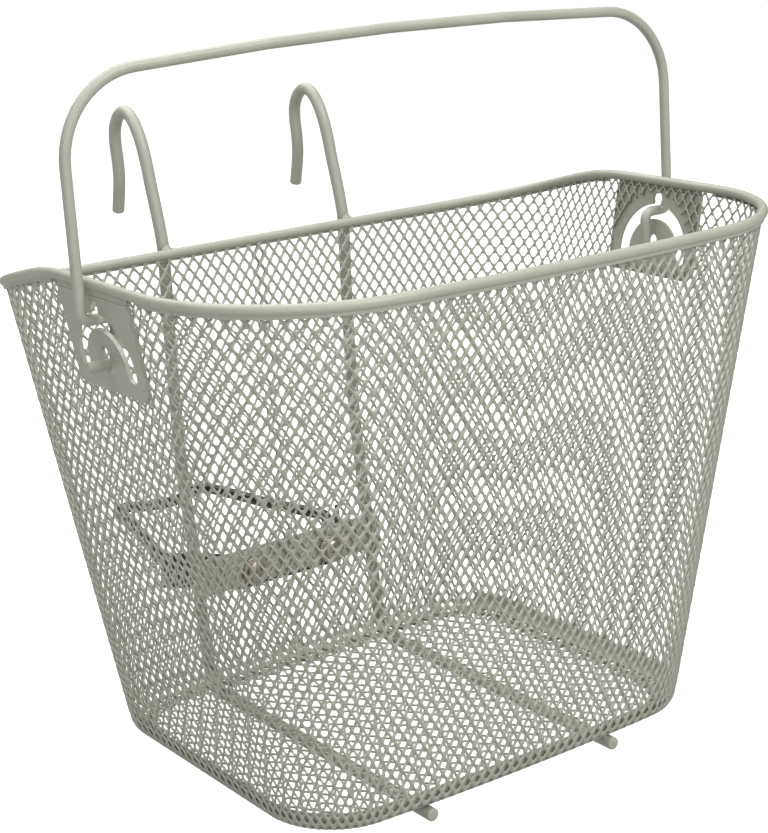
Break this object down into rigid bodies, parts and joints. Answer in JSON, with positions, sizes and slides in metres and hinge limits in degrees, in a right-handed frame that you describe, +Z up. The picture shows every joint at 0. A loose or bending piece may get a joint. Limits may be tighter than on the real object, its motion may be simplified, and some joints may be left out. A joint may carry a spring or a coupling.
{
  "type": "bicycle handlebar basket",
  "caption": "Hook-on wire-mesh bicycle basket, tapered, with a swinging carrying handle, handlebar hooks and a rear stay that rests on the head tube.",
  "frame": {"origin": "centre of the bounding box's underside, on the plane the two rods stand on", "axes": "+X to the basket's right across its width, +Y backwards towards the handlebar and hooks, +Z up"},
  "size_m": [0.3608, 0.3932, 0.3653],
  "materials": {
    "rim_wire_surface": "warm grey powder coat, satin",
    "rim_lip_front_surface": "warm grey powder coat, satin",
    "rim_lip_back_surface": "warm grey powder coat, satin",
    "wall_mesh_surface": "warm grey powder coat, satin",
    "floor_mesh_surface": "warm grey powder coat, satin",
    "hook_rod_left_surface": "warm grey powder coat, satin",
    "hook_rod_right_surface": "warm grey powder coat, satin",
    "side_plate_left_surface": "warm grey powder coat, satin",
    "side_plate_right_surface": "warm grey powder coat, satin",
    "handle_surface": "warm grey powder coat, satin",
    "back_strap_surface": "warm grey powder coat, satin",
    "bolt_left_surface": "zinc plated, satin",
    "bolt_right_surface": "zinc plated, satin",
    "inner_washer_left_surface": "zinc plated, satin",
    "inner_washer_right_surface": "zinc plated, satin",
    "outer_washer_left_surface": "zinc plated, satin",
    "outer_washer_right_surface": "zinc plated, satin",
    "nut_left_surface": "zinc plated, satin",
    "nut_right_surface": "zinc plated, satin",
    "stay_base_surface": "black powder coat, semi-gloss",
    "stay_bail_surface": "black powder coat, semi-gloss"
  },
  "bodies": {
    "basket": {"rim_wire": "rim_wire_surface", "rim_lip_front": "rim_lip_front_surface", "rim_lip_back": "rim_lip_back_surface", "wall_mesh": "wall_mesh_surface", "floor_mesh": "floor_mesh_surface", "hook_rod_left": "hook_rod_left_surface", "hook_rod_right": "hook_rod_right_surface", "side_plate_left": "side_plate_left_surface", "side_plate_right": "side_plate_right_surface", "back_strap": "back_strap_surface", "bolt_left": "bolt_left_surface", "bolt_right": "bolt_right_surface", "inner_washer_left": "inner_washer_left_surface", "inner_washer_right": "inner_washer_right_surface", "outer_washer_left": "outer_washer_left_surface", "outer_washer_right": "outer_washer_right_surface", "nut_left": "nut_left_surface", "nut_right": "nut_right_surface", "stay_base": "stay_base_surface", "stay_bail": "stay_bail_surface"},
    "handle": {"handle": "handle_surface"}
  },
  "joints": [
    {"name": "handle_swing", "type": "hinge", "parent": "basket", "child": "handle", "pos_m": [0, -0.06912, 0.2303], "axis": [1, 0, 0], "range_deg": [-76, 72]}
  ]
}
